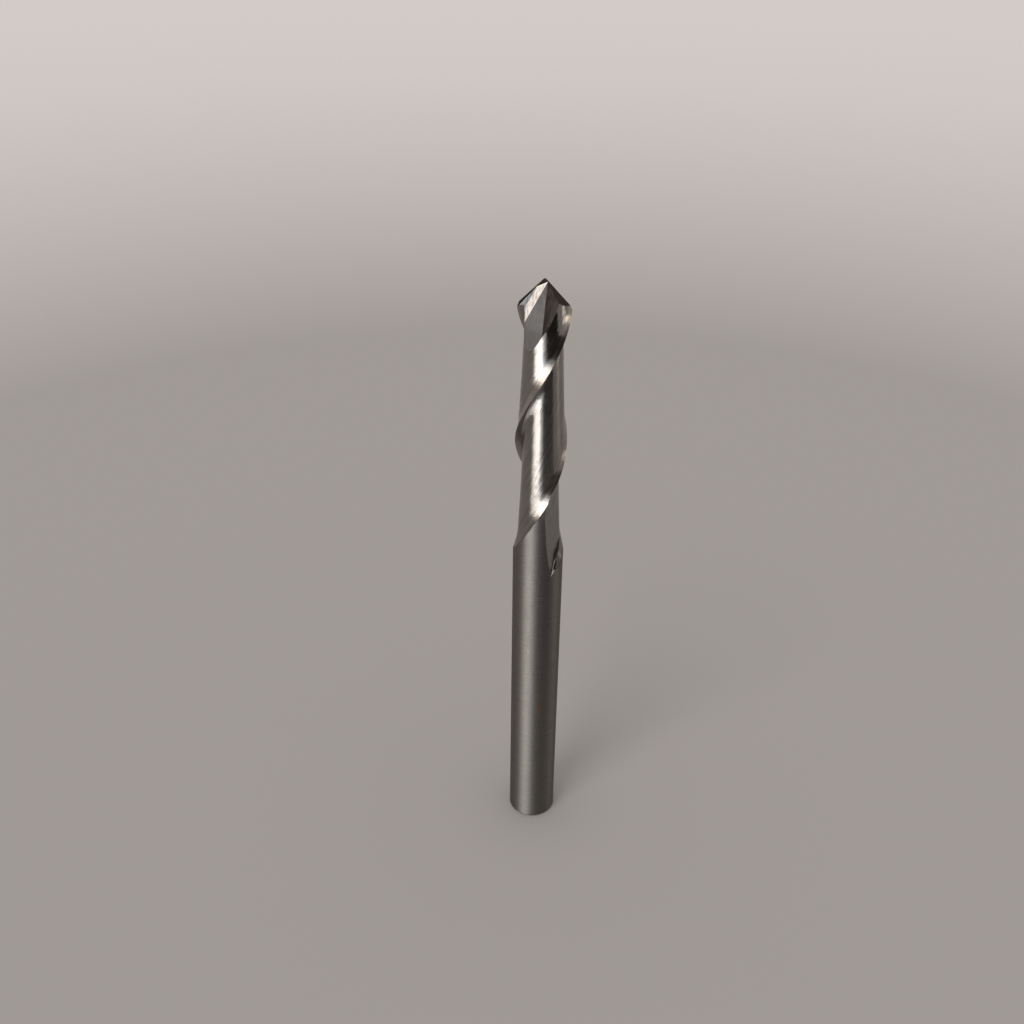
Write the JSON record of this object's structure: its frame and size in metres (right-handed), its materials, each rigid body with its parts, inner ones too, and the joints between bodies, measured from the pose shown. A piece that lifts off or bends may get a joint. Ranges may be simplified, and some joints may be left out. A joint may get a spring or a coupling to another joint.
{
  "type": "drill mill",
  "caption": "Solid carbide drill mill standing on its shank: plain round shank, helical flutes with wheel run-outs, relieved lands and a ground 90 degree point.",
  "frame": {"origin": "centre of the shank's flat end face", "axes": "+Z along the tool's axis from the shank end to the drill point; the picture looks along +Y and down"},
  "size_m": [0.006, 0.006, 0.075],
  "materials": {
    "carbide": "bare ground carbide: satin cylindrical grinding on the shank, finer polish in the flutes and on the point facets"
  },
  "bodies": {
    "root": {"drill_mill": "carbide"}
  },
  "joints": []
}
